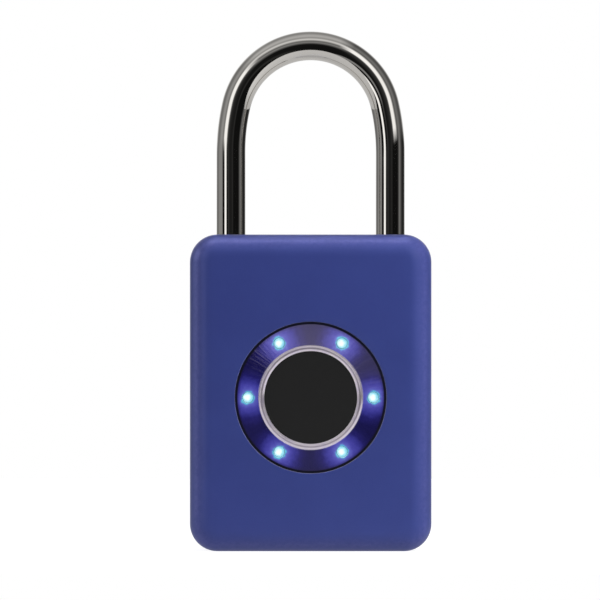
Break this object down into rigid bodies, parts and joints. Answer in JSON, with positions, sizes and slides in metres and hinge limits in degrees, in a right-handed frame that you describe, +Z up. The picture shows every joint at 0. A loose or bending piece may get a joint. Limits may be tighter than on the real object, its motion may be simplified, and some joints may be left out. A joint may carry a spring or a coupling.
{
  "type": "fingerprint padlock",
  "caption": "Compact fingerprint padlock with a rounded blue metal housing, a polished steel shackle and a round touch sensor in a lit ring.",
  "frame": {"origin": "centre of the flat base of the housing", "axes": "+Z up towards the shackle, +X to the right when facing the sensor, the sensor faces -Y"},
  "size_m": [0.043, 0.022, 0.0928],
  "materials": {
    "housing_blue": "satin",
    "polished_steel": "polished",
    "zinc_casting": "as cast",
    "fastener_steel": "satin",
    "bezel_metal": "polished",
    "tinted_lens": "gloss",
    "lamp_lens": "gloss",
    "sensor_black": "matte",
    "black_rubber": "matte",
    "board_laminate": "satin",
    "chip_black": "matte",
    "connector_nylon": "satin",
    "gear_brass": "satin",
    "flex_film": "gloss",
    "cell_pouch": "satin",
    "foam_tape": "matte",
    "wire_insulation": "satin"
  },
  "bodies": {
    "case": {"front_housing": "housing_blue", "rear_housing": "housing_blue", "rear_panel": "housing_blue", "housing_gasket": "black_rubber", "housing_screws": "fastener_steel", "lock_chassis": "zinc_casting", "chassis_cap": "zinc_casting", "cap_screws": "fastener_steel", "shackle_bushes": "black_rubber", "heel_pin": "fastener_steel", "shackle_spring": "fastener_steel", "motor_gearbox": "gear_brass", "motor_can": "fastener_steel", "motor_leads": "wire_insulation", "main_board": "board_laminate", "board_screws": "fastener_steel", "control_chips": "chip_black", "cable_connectors": "connector_nylon", "usb_socket": "fastener_steel", "light_ring": "tinted_lens", "ring_gasket": "black_rubber", "led_emitters": "lamp_lens", "led_board": "board_laminate", "ring_screws": "fastener_steel", "sensor_bezel": "bezel_metal", "sensor_disc": "sensor_black", "sensor_module": "chip_black", "sensor_flex": "flex_film", "battery_cell": "cell_pouch", "battery_pad": "foam_tape", "battery_leads": "wire_insulation"},
    "shackle": {"shackle": "polished_steel"},
    "bolt": {"latch_bolt": "fastener_steel"},
    "pinion": {"drive_pinion": "gear_brass"},
    "port_flap": {"port_cover": "black_rubber"}
  },
  "joints": [
    {"name": "shackle_lift", "type": "slide", "parent": "case", "child": "shackle", "axis": [0, 0, 1], "range_m": [0, 0.014], "deforming": ["shackle_spring"]},
    {"name": "pinion_turn", "type": "hinge", "parent": "case", "child": "pinion", "pos_m": [0.001, 0.0034, 0.05], "axis": [0, 0, 1], "range_deg": [0, 45]},
    {"name": "bolt_slide", "type": "slide", "parent": "case", "child": "bolt", "axis": [1, 0, 0], "range_m": [0, 0.00196]},
    {"name": "port_cover_hinge", "type": "hinge", "parent": "case", "child": "port_flap", "pos_m": [0.0074, -0.004, 0.0006], "axis": [0, -1, 0], "range_deg": [0, 100]}
  ],
  "couplings": [
    {"joint": "pinion_turn", "follows": "bolt_slide", "rad_per_m": 400}
  ]
}
